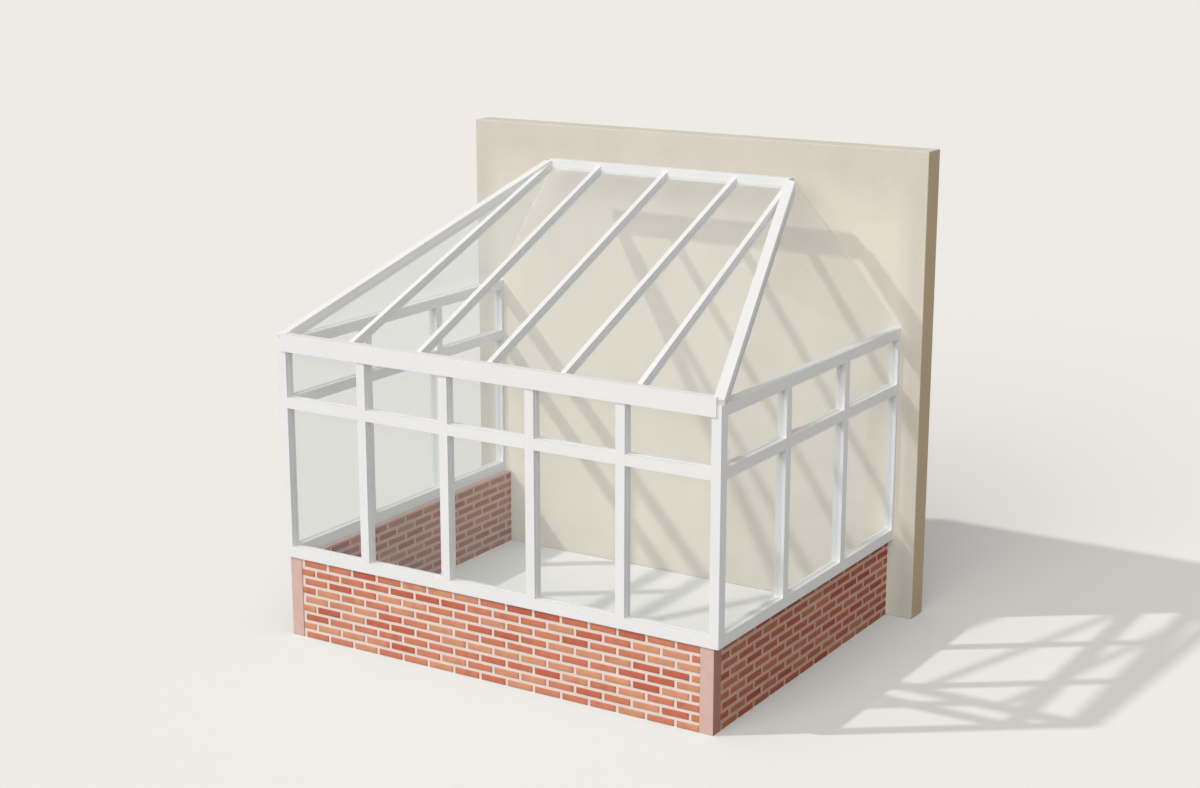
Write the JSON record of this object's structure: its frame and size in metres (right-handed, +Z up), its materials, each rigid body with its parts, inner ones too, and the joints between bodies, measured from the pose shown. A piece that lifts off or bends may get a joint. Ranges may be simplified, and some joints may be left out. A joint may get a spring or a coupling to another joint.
{
  "type": "lean-to conservatory with a hipped glass roof",
  "caption": "Glazed lean-to conservatory on dwarf brick walls, with white square-edged frames and a hipped glass roof, set against a plain rendered house wall.",
  "frame": {"origin": "on the ground, under the middle of the whole object's box", "axes": "+X along the front, to the right as seen from outside, +Y from the front towards the house wall, +Z up"},
  "size_m": [4.42, 3.267, 3.94],
  "materials": {
    "house_render": "smooth painted render, matt",
    "brickwork": "fired clay facing brick with pale mortar joints, matt",
    "frame": "white powder coat, satin",
    "glass": "clear sealed double glazing"
  },
  "bodies": {
    "root": {"house_wall": "house_render", "front_wall": "brickwork", "left_wall": "brickwork", "right_wall": "brickwork", "front_cill": "frame", "left_cill": "frame", "right_cill": "frame", "left_corner_post": "frame", "right_corner_post": "frame", "front_post_1": "frame", "front_post_2": "frame", "front_post_3": "frame", "front_post_4": "frame", "left_mullion_1": "frame", "left_mullion_2": "frame", "left_wall_post": "frame", "right_mullion_1": "frame", "right_mullion_2": "frame", "right_wall_post": "frame", "front_transoms": "frame", "left_transoms": "frame", "right_transoms": "frame", "front_head": "frame", "left_head": "frame", "right_head": "frame", "eaves_beam": "frame", "ridge_beam": "frame", "left_hip": "frame", "right_hip": "frame", "rafter_1": "frame", "rafter_2": "frame", "rafter_3": "frame", "rafter_4": "frame", "rafter_5": "frame", "front_lower_glass": "glass", "front_upper_glass": "glass", "left_lower_glass": "glass", "left_upper_glass": "glass", "right_lower_glass": "glass", "right_upper_glass": "glass", "front_slope_glass": "glass", "left_slope_glass": "glass", "right_slope_glass": "glass"}
  },
  "joints": []
}
